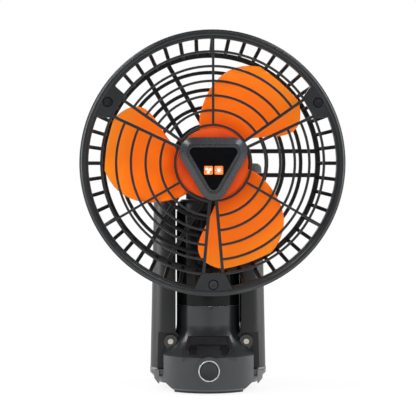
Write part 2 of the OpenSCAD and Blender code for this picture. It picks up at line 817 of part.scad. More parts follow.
module blade() {
    cols = blade_cols + 1;
    layer = cols * (blade_rows + 1);
    points = [for (side = [1, -1], i = [0:blade_rows], j = [0:blade_cols]) blade_point(i, j, side)];
    front = [for (i = [0:blade_rows - 1], j = [0:blade_cols - 1])
        let (p = i * cols + j) each [[p, p + 1, p + cols + 1], [p, p + cols + 1, p + cols]]];
    back = [for (f = front) [f[2] + layer, f[1] + layer, f[0] + layer]];
    rim = concat([for (j = [0:blade_cols]) j], [for (i = [1:blade_rows]) i * cols + blade_cols],
        [for (j = [blade_cols - 1:-1:0]) blade_rows * cols + j],
        [for (i = [blade_rows - 1:-1:1]) i * cols]);
    edge = [for (k = [0 : len(rim) - 1]) let (p = rim[k], q = rim[(k + 1) % len(rim)])
        each [[q, p, p + layer], [q, p + layer, q + layer]]];
    polyhedron(points = points, faces = concat(front, back, edge));
}

module impeller() {
    color([0.95, 0.4, 0.08]) head() difference() {
        union() {
            disc(impeller_hub_r, impeller_front - impeller_d, impeller_front);
            for (a = [0:120:240]) rotate([0, 0, a]) blade();
        }
        difference() {
            disc(impeller_hub_r - 1.8, impeller_front - impeller_d - 1, impeller_front - 2);
            disc(6, bell_front + 0.02, impeller_front);
        }
        disc(shaft_r, 0, cage_front);
    }
}

module rotor_nut() {
    color("silver") head() difference() {
        translate([0, 0, impeller_front + 0.02]) cylinder(r = 4.6, h = 3, $fn = 6);
        disc(shaft_r, 0, cage_front);
    }
}

base_housing();
bottom_plate();
base_mat();
plate_screws();
latch_tabs();
power_ring();
control_board();
battery_cells();
battery_tray();
charging_socket();
button_board();
leg_pins();
swivel_washer();
index_pin();
power_button();
deck_button(-1);  // deck_button_left
deck_button(1);  // deck_button_right
port_cover();
leg_place(180) leg();  // leg_left
leg_place(180) leg_tip();  // leg_tip_left
leg_place(0) leg();  // leg_right
leg_place(0) leg_tip();  // leg_tip_right
leg_place(90, rear_leg_out) leg();  // leg_rear
leg_place(90, rear_leg_out) leg_tip();  // leg_tip_rear
column_tube();
retaining_ring();
guide_bush();
mast_tube();
mast_stop_ring();
neck_yoke();
tilt_bolt();
tilt_knobs();
motor_housing();
tilt_bush();
rear_grille();
front_grille();
grille_screws();
hub_frame();
hub_panel();
hub_tiles();
motor_stator();
motor_board();
bearing(guard_z - 17.4);  // bearing_front
bearing(cage_back - 2);  // bearing_rear
housing_screws();
motor_bell();
motor_shaft();
impeller();
rotor_nut();
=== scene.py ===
from math import copysign, cos, pi, radians, sin, sqrt

import bmesh
import bpy
from mathutils import Matrix, Vector


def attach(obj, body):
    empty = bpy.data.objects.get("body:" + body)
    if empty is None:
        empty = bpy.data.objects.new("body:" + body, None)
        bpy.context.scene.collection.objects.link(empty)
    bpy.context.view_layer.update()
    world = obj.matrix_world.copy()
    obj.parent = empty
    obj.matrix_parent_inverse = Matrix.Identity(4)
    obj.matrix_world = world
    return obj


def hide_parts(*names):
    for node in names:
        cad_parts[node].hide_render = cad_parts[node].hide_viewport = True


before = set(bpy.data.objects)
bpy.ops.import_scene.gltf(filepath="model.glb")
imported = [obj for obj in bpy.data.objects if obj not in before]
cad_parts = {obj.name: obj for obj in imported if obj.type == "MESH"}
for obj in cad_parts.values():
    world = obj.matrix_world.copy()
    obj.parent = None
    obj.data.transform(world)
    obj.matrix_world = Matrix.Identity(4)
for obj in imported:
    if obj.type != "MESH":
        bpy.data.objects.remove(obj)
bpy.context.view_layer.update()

# ---------------------------------------------------------------------------
# Camera, floor and lamps. The camera stands a little left of the column's
# front, level with the fan axis, and looks slightly down. Two tall soft lamps
# stand beside the fan, two small ones hang over it and a broad one is behind.
# ---------------------------------------------------------------------------
# The fan axis's height over the floor, and the camera's place and tilt from there
FAN_Z = 0.1775
EYE_DISTANCE, EYE_SIDE, EYE_DOWN = 1.173, radians(1.15), radians(1.73)
camera_data = bpy.data.cameras.new("camera")
camera_data.lens, camera_data.sensor_width = 128.4, 36
camera_data.clip_start, camera_data.clip_end = 0.05, 20
camera = bpy.data.objects.new("camera", camera_data)
camera.location = (-EYE_DISTANCE * sin(EYE_SIDE), -EYE_DISTANCE * cos(EYE_SIDE), FAN_Z)
sight = Vector((sin(EYE_SIDE) * cos(EYE_DOWN), cos(EYE_SIDE) * cos(EYE_DOWN), -sin(EYE_DOWN)))
camera.rotation_euler = sight.to_track_quat("-Z", "Y").to_euler()
bpy.context.scene.collection.objects.link(camera)
bpy.context.scene.camera = camera
bpy.context.scene.view_settings.view_transform = "Standard"


class Wire:
    """One shader socket. Sums and products of wires and numbers add Math nodes."""

    def __init__(self, finish, socket):
        self.finish, self.socket = finish, socket

    def maths(self, operation, first, second):
        return self.finish.node("ShaderNodeMath", {"operation": operation}, {0: first, 1: second})

    def __add__(self, other):
        return self.maths("ADD", self, other)

    def __sub__(self, other):
        return self.maths("SUBTRACT", self, other)

    def __rsub__(self, other):
        return self.maths("SUBTRACT", other, self)

    def __mul__(self, other):
        return self.maths("MULTIPLY", self, other)

    __radd__, __rmul__ = __add__, __mul__


class Finish:
    """The shader of a new material, or of a new world, under construction."""

    def __init__(self, name, kept_in="materials"):
        self.owner = getattr(bpy.data, kept_in).new(name)
        self.owner.use_nodes = True
        self.tree = self.owner.node_tree
        self.tree.nodes.clear()

    @property
    def place(self):
        """Where a point lies on the piece, in metres."""
        return self.node("ShaderNodeTexCoord", out="Object")

    def node(self, kind, settings=None, inputs=None, out=0):
        """A node of this type, with its settings, then its sockets' values or wires."""
        made = self.tree.nodes.new(kind)
        for name, value in (settings or {}).items():
            setattr(made, name, value)
        for name, value in (inputs or {}).items():
            if isinstance(value, Wire):
                self.tree.links.new(value.socket, made.inputs[name])
            else:
                made.inputs[name].default_value = value
        return Wire(self, made.outputs[out])

    def noise(self, scale, detail=2, rough=0.5, of=None):
        return self.node("ShaderNodeTexNoise", None, {
            "Vector": of or self.place, "Scale": scale, "Detail": detail, "Roughness": rough})

    def between(self, amount, low, high):
        """The amount, limited to low..high and stretched to 0..1."""
        return self.node("ShaderNodeMapRange", {"clamp": True}, {
            "Value": amount, "From Min": low, "From Max": high})

    def mix(self, amount, one, other):
        """Two colours mixed: one where the amount is 0, the other where it is 1."""
        return self.node("ShaderNodeMix", {"data_type": "RGBA"}, {
            0: amount, 6: one, 7: other}, out=2)

    def bump(self, height, depth):
        return self.node("ShaderNodeBump", None, {
            "Height": height, "Distance": depth, "Strength": 1.0}, out="Normal")

    def surface(self, **inputs):
        sockets = {name.replace("_", " "): value for name, value in inputs.items()}
        return self.node("ShaderNodeBsdfPrincipled", None, sockets, out="BSDF")

    def done(self, shader, end="ShaderNodeOutputMaterial"):
        self.tree.links.new(shader.socket, self.tree.nodes.new(end).inputs["Surface"])
        return self.owner


def tone(red, green, blue):
    """A display colour from 0 to 255 as the linear colour that shaders take."""
    linear = [c / 12.92 if c <= 0.04045 else ((c + 0.055) / 1.055) ** 2.4
              for c in (red / 255, green / 255, blue / 255)]
    return (*linear, 1.0)


def shaded(colour, share):
    """The linear colour made lighter, or darker where the share is under 1."""
    return (*(min(1.0, c * share) for c in colour[:3]), 1.0)


def rays(finish, *kinds):
    """1 where a surface is met by one of these kinds of ray, and 0 elsewhere."""
    met = finish.node("ShaderNodeLightPath", out=kinds[0])
    for kind in kinds[1:]:
        met = met.maths("MAXIMUM", met, finish.node("ShaderNodeLightPath", out=kind))
    return met


FLOOR_HALF, FLOOR_SHIFT, FLOOR_GLOW, GLOW_SHARE = 1.1, 0.3, 1.05, 0.8
WHITE = (1, 1, 1, 1)
floor_finish = Finish("pale_floor")
pale = floor_finish.node("ShaderNodeBsdfDiffuse", None, {"Color": tone(236, 236, 236)})
glow = floor_finish.node("ShaderNodeEmission", None, {"Color": WHITE, "Strength": FLOOR_GLOW})
seen = rays(floor_finish, "Is Camera Ray", "Is Glossy Ray", "Is Transmission Ray")
bm = bmesh.new()
bmesh.ops.create_grid(bm, x_segments=1, y_segments=1, size=FLOOR_HALF)
bmesh.ops.translate(bm, vec=(0, FLOOR_SHIFT, 0), verts=bm.verts)
floor_mesh = bpy.data.meshes.new("floor")
bm.to_mesh(floor_mesh)
bm.free()
floor = bpy.data.objects.new("floor", floor_mesh)
floor_mesh.materials.append(floor_finish.done(floor_finish.node(
    "ShaderNodeMixShader", None, {0: seen * GLOW_SHARE, 1: pale, 2: glow})))
bpy.context.scene.collection.objects.link(floor)

# The room is white to the eye. It lights the fan from the front, less from above.
# Glossy parts mirror white behind the fan and a dim studio in front of it, with a
# fainter ring of light around the camera.
room = Finish("white_room", "worlds")
towards = room.node("ShaderNodeTexCoord", out="Generated")
facing = room.node("ShaderNodeSeparateXYZ", None, {0: towards}, out="Y")
height = room.node("ShaderNodeSeparateXYZ", None, {0: towards}, out="Z")
front_light = 0.45 + 2.05 * room.between(0 - facing, -0.2, 0.9)
soft_sky = front_light * (1 - 0.75 * room.between(height, 0, 0.8))
white_behind = 0.05 + 0.95 * room.between(facing, -0.55, 0.6)
ring_ahead = (room.between(facing, -0.98, -0.88) * (1 - room.between(facing, -0.8, -0.5))
              * (1 - room.between(height, 0.1, 0.45)))
mirrored = (white_behind + 0.45 * ring_ahead) * (1 - 0.8 * room.between(height, 0.25, 0.9))
lighting, mirror, backdrop = (
    room.node("ShaderNodeBackground", None, {"Color": WHITE, "Strength": strength})
    for strength in (soft_sky, mirrored, 1.0))
lit = room.node("ShaderNodeMixShader", None, {
    0: rays(room, "Is Glossy Ray"), 1: lighting, 2: mirror})
bpy.context.scene.world = room.done(room.node("ShaderNodeMixShader", None, {
    0: rays(room, "Is Camera Ray", "Is Transmission Ray"), 1: lit, 2: backdrop}),
    "ShaderNodeOutputWorld")

for name, place, aim, size, power in [
        ("left_panel", (-1.0, 0.1, 0.45), (0, 0, 0.15), (0.35, 1.1), 7),
        ("right_panel", (1.05, 0.15, 0.45), (0, 0, 0.15), (0.35, 1.1), 6),
        ("top_left", (-0.7, -0.55, 1.15), (0, 0, 0.1), (0.28, 0.28), 5),
        ("top_right", (0.7, -0.55, 1.15), (0, 0, 0.1), (0.28, 0.28), 4),
        ("back_panel", (0, 1.3, 0.9), (0, 0, 0.15), (1.4, 0.9), 8)]:
    lamp_data = bpy.data.lights.new(name, "AREA")
    lamp_data.shape = "RECTANGLE"
    lamp_data.size, lamp_data.size_y, lamp_data.energy = *size, power
    lamp = bpy.data.objects.new(name, lamp_data)
    lamp.location = place
    lamp.rotation_euler = (Vector(aim) - Vector(place)).to_track_quat("-Z", "Y").to_euler()
    bpy.context.scene.collection.objects.link(lamp)

# ---------------------------------------------------------------------------
# Base housing. One charcoal moulding in glass-filled nylon: a round puck with
# a waisted neck, a sloping control deck and the ears that carry the legs.
# ---------------------------------------------------------------------------
MILLIMETRES = Matrix.Scale(0.001, 4)


def moulded(name, colour, rough, grain=0.00006, coat=0.0):
    """Moulded plastic: a fine spark-eroded grain, with faint clouds of gloss and shade."""
    finish = Finish(name)
    cloud = finish.noise(34, detail=3)
    fine = finish.noise(1500, rough=0.6)
    light = (*(min(1.0, c * 1.16 + 0.001) for c in colour[:3]), 1.0)
    shade = finish.between(cloud * 0.75 + fine * 0.25, 0.38, 0.62)
    return finish.done(finish.surface(
        Base_Color=finish.mix(shade, shaded(colour, 0.84), light),
        Roughness=rough + (fine - 0.5) * 0.16 + (cloud - 0.5) * 0.12,
        Coat_Weight=coat, Coat_Roughness=0.2,
        Normal=finish.bump(fine, grain)))


def settle(bm, name, finish, body, slot, *nodes, place=MILLIMETRES, sharp=38):
    """Puts the mesh in its place as a piece that rides on a body and replaces CAD nodes.

    Faces that meet at more than so many degrees keep a sharp edge between them. The
    normals follow the larger faces, so that narrow roundings don't bend flat ones.
    """
    bmesh.ops.transform(bm, matrix=place, verts=bm.verts)
    mesh = bpy.data.meshes.new(name)
    bm.to_mesh(mesh)
    bm.free()
    mesh.shade_smooth()
    mesh.set_sharp_from_angle(angle=radians(sharp))
    mesh.materials.append(finish)
    piece = bpy.data.objects.new(name, mesh)
    bpy.context.scene.collection.objects.link(piece)
    even = piece.modifiers.new("even_normals", "WEIGHTED_NORMAL")
    even.mode, even.weight, even.keep_sharp = "FACE_AREA", 80, True
    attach(piece, body)
    if nodes:
        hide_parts(*nodes)


def round_edges(bm, width, segments=2, over=30):
    """Rounds off every edge that turns by more than so many degrees."""
    sharp = [edge for edge in bm.edges
             if len(edge.link_faces) == 2 and edge.calc_face_angle(0) > radians(over)]
    bmesh.ops.bevel(bm, geom=sharp, offset=width, offset_type="OFFSET", segments=segments,
                    profile=0.5, affect="EDGES", material=-1, clamp_overlap=True)


def solid_of(node):
    """The CAD node's mesh in millimetres, merged, with its flat faces made whole."""
    bm = bmesh.new()
    bm.from_mesh(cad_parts[node].data)
    bmesh.ops.scale(bm, vec=(1000, 1000, 1000), verts=bm.verts)
    bmesh.ops.remove_doubles(bm, verts=bm.verts, dist=0.002)
    bmesh.ops.dissolve_limit(bm, angle_limit=radians(0.6), verts=bm.verts, edges=bm.edges)
    return bm


def soften(node, name, finish, body, slot, width=0.4, segments=2):
    """The CAD node again with its edges rounded, as they come from the mould."""
    bm = solid_of(node)
    round_edges(bm, width, segments)
    settle(bm, name, finish, body, slot, node, sharp=30)


def dress(finish, *nodes):
    """Gives CAD nodes that are shown as they are their finish."""
    for node in nodes:
        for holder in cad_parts[node].material_slots:
            holder.material = finish


charcoal = moulded("charcoal_nylon", tone(31, 35, 38), 0.34, coat=0.6)
soften("base_housing", "base_moulding", charcoal, "base", "charcoal_shell", 1.1, 3)

# ---------------------------------------------------------------------------
# Underside: a black plate held by four screws, with a soft round mat that
# keeps the fan from sliding. Grey tongues are let into the two side feet.
# ---------------------------------------------------------------------------
black_nylon = moulded("black_nylon", tone(18, 19, 20), 0.3)
mat_rubber = moulded("mat_rubber", tone(52, 52, 53), 0.78, 0.00012)
tab_nylon = moulded("tab_nylon", tone(116, 116, 118), 0.5)
soften("bottom_plate", "underside_plate", black_nylon, "base", "black_cage")
dress(mat_rubber, "base_mat")
soften("latch_tabs", "foot_tongues", tab_nylon, "base", "grey_tab", 0.25)


def metal(name, colour, rough, scale=900, streak=(1, 1, 1), worn=0.08):
    """Bare or plated metal with fine tool marks."""
    finish = Finish(name)
    marks = finish.noise(scale, 3, 0.6, of=finish.node(
        "ShaderNodeMapping", None, {"Vector": finish.place, "Scale": streak}))
    return finish.done(finish.surface(
        Base_Color=finish.mix(marks, shaded(colour, 1 - worn), colour),
        Metallic=1.0, Roughness=rough + (marks - 0.5) * 0.12,
        Normal=finish.bump(marks, 0.00001)))


steel = metal("zinc_steel", tone(190, 188, 182), 0.3)
dress(steel, "plate_screws")

# ---------------------------------------------------------------------------
# Electronics in the base: circuit boards, three flat cells in a tray, and the
# charging socket behind the port cover.
# ---------------------------------------------------------------------------
def solder_mask():
    """Green solder mask over copper tracks that run on a square grid."""
    finish = Finish("green_board")
    tracks = finish.node("ShaderNodeTexBrick", {"offset": 0.5}, {
        "Vector": finish.place, "Color1": tone(28, 92, 52), "Color2": tone(22, 78, 44),
        "Mortar": tone(66, 128, 66), "Scale": 420.0, "Mortar Size": 0.035,
        "Brick Width": 0.9, "Row Height": 0.35}, out="Color")
    speck = finish.noise(700)
    return finish.done(finish.surface(
        Base_Color=tracks, Roughness=0.32 + speck * 0.2, Normal=finish.bump(speck, 0.00003)))


def shrink_wrap(colour):
    """Shrink-wrapped film with soft creases."""
    finish = Finish("cell_wrap")
    crease = finish.noise(160, 4, 0.65)
    return finish.done(finish.surface(
        Base_Color=finish.mix(crease, colour, shaded(colour, 1.5)),
        Roughness=0.3 + crease * 0.15, Normal=finish.bump(crease, 0.00012)))


green_board = solder_mask()
dress(green_board, "control_board", "button_board")
dress(shrink_wrap(tone(60, 96, 150)), "battery_cells")
inner_nylon = moulded("inner_nylon", tone(30, 31, 32), 0.6)
dress(inner_nylon, "battery_tray")
dress(metal("socket_shell", tone(176, 176, 178), 0.28), "charging_socket")

# ---------------------------------------------------------------------------
# Power button: a dished charcoal cap that moves inside a bright plated ring on
# the front boss. Two small black keys sit on the sloping deck above it.
# ---------------------------------------------------------------------------
def lathe(profile, steps=96, soft=0.0, segments=2):
    """A closed outline of (radius, height) points turned round the upright axis."""
    bm = bmesh.new()
    outline = bm.faces.new([bm.verts.new((r, 0, z)) for r, z in profile])
    if soft:
        bmesh.ops.bevel(bm, geom=[v for v in outline.verts if v.co.x > 0], offset=soft,
                        offset_type="OFFSET", segments=segments, profile=0.5,
                        affect="VERTICES", material=-1, clamp_overlap=True)
    bmesh.ops.delete(bm, geom=bm.faces[:], context="FACES_ONLY")
    on_axis = [edge for edge in bm.edges if not any(v.co.x for v in edge.verts)]
    bmesh.ops.delete(bm, geom=on_axis, context="EDGES")
    bmesh.ops.spin(bm, geom=bm.verts[:] + bm.edges[:], cent=(0, 0, 0), axis=(0, 0, 1),
                   dvec=(0, 0, 0), angle=2 * pi, steps=steps, use_merge=True)
    bmesh.ops.remove_doubles(bm, verts=bm.verts, dist=0.0005)
    bmesh.ops.dissolve_degenerate(bm, edges=bm.edges, dist=0.0002)
    bmesh.ops.recalc_face_normals(bm, faces=bm.faces)
    return bm


BOSS_FRONT, POWER_Z = 44.6, 18.7
RING_IN, RING_OUT, RING_SUNK, RING_EDGE, RING_PROUD = 7.2, 8.25, 1.15, 0.05, 0.4
CAP_OUT, CAP_DEEP, CAP_DISH = 6.8, 5.0, 0.22
# The button's own frame in millimetres: its axis points out of the front boss
FRONT_WALL = MILLIMETRES @ Matrix.Translation((0, -BOSS_FRONT, POWER_Z)) @ Matrix.Rotation(
    pi / 2, 4, "X")
power_ring = lathe([
    (RING_IN, -RING_SUNK), (RING_IN, RING_EDGE), (RING_IN + 0.3, RING_PROUD),
    (RING_OUT - 0.35, RING_PROUD), (RING_OUT, RING_EDGE), (RING_OUT, -RING_SUNK)], soft=0.12)
settle(power_ring, "power_bright_ring", metal("bright_plate", tone(226, 227, 231), 0.42, worn=0.04),
       "base", "bright_ring", "power_ring", place=FRONT_WALL)
power_cap = lathe([
    (0, -CAP_DEEP), (CAP_OUT, -CAP_DEEP), (CAP_OUT, -0.15), (CAP_OUT - 0.4, 0.2),
    (CAP_OUT - 1.2, 0.12), (4, -0.1), (2, -0.2), (0, -CAP_DISH)], soft=0.1)
settle(power_cap, "power_cap", moulded("key_nylon", tone(33, 34, 37), 0.36, 0.00003),
       "power_button", "key_cap", "power_button", place=FRONT_WALL)

DECK_Y, DECK_Z, DECK_SLOPE = -41.5, 28.5, radians(45)
KEY_X, KEY_UP, KEY_R, KEY_DEEP, KEY_PROUD = 12.5, 7.0, 4.3, 4.6, 0.4
# The keys' own frame: flat on the sloping deck, with z out of it
DECK = MILLIMETRES @ Matrix.Translation((0, DECK_Y, DECK_Z)) @ Matrix.Rotation(DECK_SLOPE, 4, "X")
for side, label in ((-1, "left"), (1, "right")):
    key = lathe([(0, -KEY_DEEP), (KEY_R, -KEY_DEEP), (KEY_R, 0.1), (KEY_R - 0.6, KEY_PROUD),
                 (2.6, 0.28), (0, 0.15)], soft=0.2)
    settle(key, f"deck_key_{label}", black_nylon, f"deck_button_{label}", "key_cap",
           f"deck_button_{label}", place=DECK @ Matrix.Translation((side * KEY_X, KEY_UP, 0)))

# ---------------------------------------------------------------------------
# Port cover: a charcoal flap with a finger lip, moulded like the base. It is
# hinged along its upper edge and closes over the charging socket.
# ---------------------------------------------------------------------------
soften("port_cover", "port_flap", charcoal, "port_cover", "charcoal_shell", 0.3)

# ---------------------------------------------------------------------------
# Legs: hollow half-round mouldings with soft end plugs. Each folds down on a
# plated pin between two ears of the base.
# ---------------------------------------------------------------------------
leg_nylon = moulded("leg_nylon", tone(15, 16, 17), 0.38)
tip_rubber = moulded("tip_rubber", tone(46, 47, 48), 0.6, 0.0001)
for leg in ("left", "right", "rear"):
    soften(f"leg_{leg}", f"leg_{leg}_moulding", leg_nylon, f"leg_{leg}", "charcoal_shell", 0.5, 3)
    soften(f"leg_tip_{leg}", f"leg_{leg}_plug", tip_rubber, f"leg_{leg}", "soft_rubber", 0.3)
brass_plate = metal("pale_brass", tone(206, 196, 180), 0.24)
soften("leg_pins", "hinge_pins", brass_plate, "base", "steel_part", 0.15)

# ---------------------------------------------------------------------------
# Column: a dark lacquered tube that turns in the base on a slide washer, with
# a small index pin in an arch at the seam. The mast slides up inside it.
# ---------------------------------------------------------------------------
def lacquer(colour):
    """Dark lacquer over metal with a clear coat: smooth, with a very slight orange peel."""
    finish = Finish("column_lacquer")
    peel = finish.noise(260)
    speck = finish.noise(2600, detail=1)
    flake = (*(c + 0.004 for c in colour[:3]), 1.0)
    return finish.done(finish.surface(
        Base_Color=finish.mix(finish.between(speck, 0.45, 0.7), colour, flake),
        Roughness=0.2 + (peel - 0.5) * 0.06,
        Coat_Weight=0.2, Coat_Roughness=0.06, Specular_IOR_Level=0.12,
        Normal=finish.bump(peel, 0.00002)))


soften("column_tube", "column_shell", lacquer(tone(10, 11, 12)), "column", "column_paint", 0.35, 3)
slide_nylon = moulded("slide_nylon", tone(188, 186, 180), 0.45, 0.00003)
dress(slide_nylon, "swivel_washer", "guide_bush", "tilt_bush")
dress(steel, "retaining_ring", "tilt_bolt", "housing_screws", "rotor_nut")
dress(metal("dark_steel", tone(60, 60, 62), 0.4), "index_pin")
dress(metal("drawn_mast", tone(150, 152, 156), 0.3, 500, (1, 1, 0.05)), "mast_tube")
dress(inner_nylon, "mast_stop_ring")
soften("neck_yoke", "neck_fork", black_nylon, "mast", "charcoal_shell", 0.5, 3)
soften("tilt_knobs", "tilt_grips", black_nylon, "mast", "black_cage", 0.5, 3)

# ---------------------------------------------------------------------------
# Motor: a charcoal housing behind the cage, an outrunner stator on its sleeve
# and the steel bell that carries the impeller.
# ---------------------------------------------------------------------------
soften("motor_housing", "motor_casing", black_nylon, "head", "charcoal_shell", 0.6, 3)
dress(green_board, "motor_board")
dress(metal("bearing_steel", tone(200, 200, 202), 0.16), "bearing_front", "bearing_rear")
dress(metal("bell_steel", tone(120, 122, 126), 0.34), "motor_bell")
dress(steel, "motor_shaft")


def wound_wire():
    """Enamelled copper wire, wound in close turns, with painted shade between the turns and a
    painted highlight on them.
    """
    finish = Finish("wound_copper")
    turns = finish.node("ShaderNodeTexWave", {"wave_type": "BANDS", "bands_direction": "Y"}, {
        "Vector": finish.place, "Scale": 900.0, "Distortion": 1.0, "Detail": 1.0})
    return finish.done(finish.surface(
        # Painted shade and highlight: each turn goes from dark brown in its groove to bright copper
        # on its crown.
        Base_Color=finish.mix(turns, tone(120, 62, 30), tone(205, 126, 70)),
        Metallic=1.0, Roughness=0.3 + turns * 0.15, Normal=finish.bump(turns, 0.0001)))


dress(wound_wire(), "motor_stator")

# ---------------------------------------------------------------------------
# Rear grille: a black basket of flat rings, three pairs of parallel bars and
# forty-eight slanted slats that run forward to the flange.
# ---------------------------------------------------------------------------
# The head's own frame in millimetres: x to the right, y up and z forward from the
# fan axis. The whole head is turned a little about the column.
HEAD_YAW = radians(2.5)
HEAD = (Matrix.Rotation(HEAD_YAW, 4, "Z") @ Matrix.Translation((0, 0, FAN_Z))
        @ Matrix.Rotation(pi / 2, 4, "X") @ MILLIMETRES)
CAGE_FRONT, CAGE_BACK, CAGE_T = 64, 32, 3
DISC_IN, DISC_OUT, FIRST_RING, RING_PITCH, RING_HALF = 8.6, 31, 43, 13.2, 1.4
BACK_RIM_IN, BACK_RIM_OUT, WALL_RING_IN, WALL_RING_OUT = 80.6, 84.6, 94.3, 98.3
BAR_FROM_MIDDLE, BAR_HALF, SLATS, SLAT_FRONT, SLAT_HALF = 9.2, 1.7, 48, 55.8, 1.4
SCREW_R, POST_BORE, POST_R = 91, 1.35, 3.4
THIRDS, PLATE_TURNS = (0, 120, 240), (30, 150, 270)


def add(bm, part, *turns):
    """Moves a part into the mesh, with a copy for each turn about the fan axis in degrees."""
    for turn in turns or (0,):
        copy = part.copy()
        bmesh.ops.rotate(copy, cent=(0, 0, 0), matrix=Matrix.Rotation(radians(turn), 3, "Z"),
                         verts=copy.verts)
        carrier = bpy.data.meshes.new("carrier")
        copy.to_mesh(carrier)
        copy.free()
        bm.from_mesh(carrier)
        bpy.data.meshes.remove(carrier)
    part.free()


def bar(low, high, soft=0.5):
    """A straight bar between two corners, with rounded edges."""
    bm = bmesh.new()
    bmesh.ops.create_cube(bm, size=1)
    size = [b - a for a, b in zip(low, high)]
    bmesh.ops.scale(bm, vec=size, verts=bm.verts)
    bmesh.ops.translate(bm, vec=[(a + b) / 2 for a, b in zip(low, high)], verts=bm.verts)
    round_edges(bm, soft)
    return bm


def vertices_of(geom):
    """The vertices among what an operator made."""
    return [v for v in geom if isinstance(v, bmesh.types.BMVert)]


def prism(outline, low, high, soft=0.4, segments=2):
    """A flat outline raised from one height to another, with rounded edges."""
    bm = bmesh.new()
    base = bm.faces.new([bm.verts.new((x, y, low)) for x, y in outline])
    raised = bmesh.ops.extrude_face_region(bm, geom=[base])["geom"]
    bmesh.ops.translate(bm, vec=(0, 0, high - low), verts=vertices_of(raised))
    bmesh.ops.recalc_face_normals(bm, faces=bm.faces)
    round_edges(bm, soft, segments)
    return bm


def band(r_in, r_out, low, high, soft=0.5, steps=96):
    """A flat ring with rounded edges."""
    return lathe([(r_in, low), (r_out, low), (r_out, high), (r_in, high)], steps, soft)


bm = bmesh.new()
add(bm, band(DISC_IN, DISC_OUT, CAGE_BACK, CAGE_BACK + CAGE_T))
for step in range(3):
    ring_r = FIRST_RING + RING_PITCH * step
    add(bm, band(ring_r - RING_HALF, ring_r + RING_HALF, CAGE_BACK, CAGE_BACK + CAGE_T, 0.6))
add(bm, band(BACK_RIM_IN, BACK_RIM_OUT, CAGE_BACK, CAGE_BACK + CAGE_T, 0.6, 144))
add(bm, band(WALL_RING_IN, WALL_RING_OUT, CAGE_FRONT - 12, CAGE_FRONT - 8, 0.6, 144))
for side in (-BAR_FROM_MIDDLE, BAR_FROM_MIDDLE):
    add(bm, bar((DISC_OUT - 3, side - BAR_HALF, CAGE_BACK + 0.2),
                (BACK_RIM_IN + 2, side + BAR_HALF, CAGE_BACK + CAGE_T - 0.2), 0.6), *THIRDS)
slat = prism([(WALL_RING_OUT - 0.3, -SLAT_FRONT), (WALL_RING_IN + 0.3, -SLAT_FRONT),
              (BACK_RIM_IN + 1, -CAGE_BACK - CAGE_T), (BACK_RIM_IN + 1, -CAGE_BACK - 0.3),
              (BACK_RIM_OUT - 0.2, -CAGE_BACK - 0.3)], -SLAT_HALF, SLAT_HALF, 0.45, 1)
bmesh.ops.rotate(slat, cent=(0, 0, 0), matrix=Matrix.Rotation(-pi / 2, 3, "X"), verts=slat.verts)
add(bm, slat, *(i * 360 / SLATS for i in range(SLATS)))
post = band(POST_BORE, POST_R, CAGE_BACK + 12, CAGE_FRONT - 4.2, 0.3, 32)
bmesh.ops.translate(post, vec=(SCREW_R, 0, 0), verts=post.verts)
add(bm, post, *PLATE_TURNS)
settle(bm, "rear_basket", moulded("black_cage", tone(19, 19, 20), 0.34), "head", "black_cage",
       "rear_grille", place=HEAD)

# ---------------------------------------------------------------------------
# Impeller: three broad sculpted blades and a hub cup in one orange moulding,
# held on the motor shaft by a nut.
# ---------------------------------------------------------------------------
BLADE_TIP, ROOT_R, BLADE_T, BLADE_HALF = 81, 25, 1.9, 37
BLADE_LEAN, BLADE_SWEEP, BLADE_PITCH, BLADE_BOW = 49.5, 27, 7.5, 1.5
IMPELLER_FRONT, IMPELLER_DEPTH = 57, 17
CUP_R, CUP_WALL, CUP_FLOOR, BORE_R, SEAT_R, SEAT_Z = 26.8, 1.4, 55, 2.55, 6, 54.1


def blade_place(along, across):
    """Where a blade's middle sheet lies, from root to tip and from edge to edge."""
    r = ROOT_R + (BLADE_TIP - 0.6 - ROOT_R) * sin(pi / 2 * along)
    rounded = sqrt(1 - (r / (1.02 * BLADE_TIP)) ** 6)
    half = BLADE_HALF * rounded * min(1, 0.9 + (r - ROOT_R) / 80) - 0.4
    trail = (1 - (r - ROOT_R) / (BLADE_TIP - ROOT_R)) ** 1.7
    angle = radians(BLADE_LEAN + BLADE_SWEEP * trail + across * half)
    pitch = BLADE_PITCH * across * half / BLADE_HALF
    rise = IMPELLER_FRONT - IMPELLER_DEPTH / 2 + pitch - BLADE_BOW * (1 - across ** 2)
    return Vector((r * cos(angle), r * sin(angle), rise))


blade = bmesh.new()
bmesh.ops.create_grid(blade, x_segments=26, y_segments=30, size=1)
for v in blade.verts:
    v.co = blade_place((v.co.x + 1) / 2, v.co.y)
bmesh.ops.recalc_face_normals(blade, faces=blade.faces)
bmesh.ops.solidify(blade, geom=blade.faces[:], thickness=BLADE_T)
bmesh.ops.recalc_face_normals(blade, faces=blade.faces)
bmesh.ops.translate(blade, vec=(0, 0, BLADE_T / 2), verts=blade.verts)
round_edges(blade, 0.7, 3, 60)


